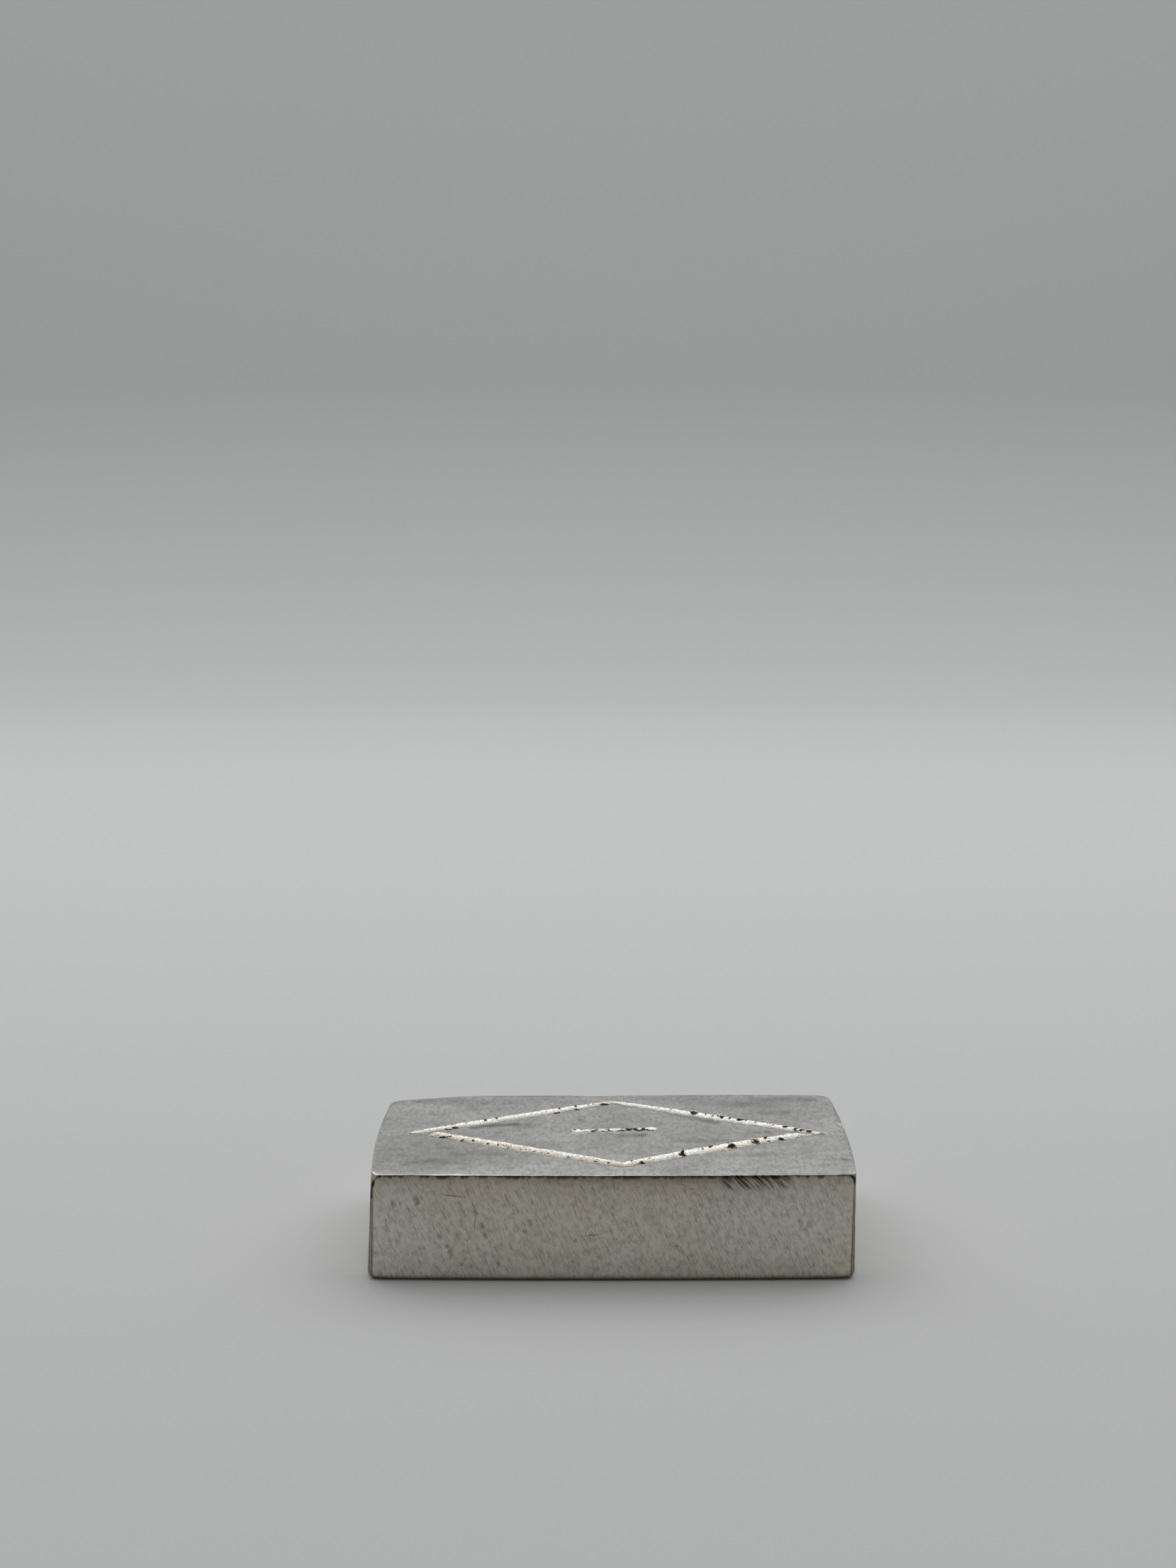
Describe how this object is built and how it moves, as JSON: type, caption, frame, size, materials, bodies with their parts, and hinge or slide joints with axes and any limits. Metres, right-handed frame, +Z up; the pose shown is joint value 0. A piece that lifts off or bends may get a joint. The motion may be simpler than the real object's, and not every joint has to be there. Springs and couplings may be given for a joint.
{
  "type": "metal ingot",
  "caption": "Small cast silver bar with bowed sides, rounded base edges and a lozenge cut into its flat satin top; stacked, weighed or melted as stock.",
  "frame": {"origin": "middle of the base's bounding box, on the surface the bar lies on", "axes": "+X along the bar's length, +Y from the front long face to the back one, +Z up through the cut top"},
  "size_m": [0.0432, 0.0237, 0.0095],
  "materials": {
    "cast_silver": "satin"
  },
  "bodies": {
    "root": {"ingot": "cast_silver"}
  },
  "joints": []
}
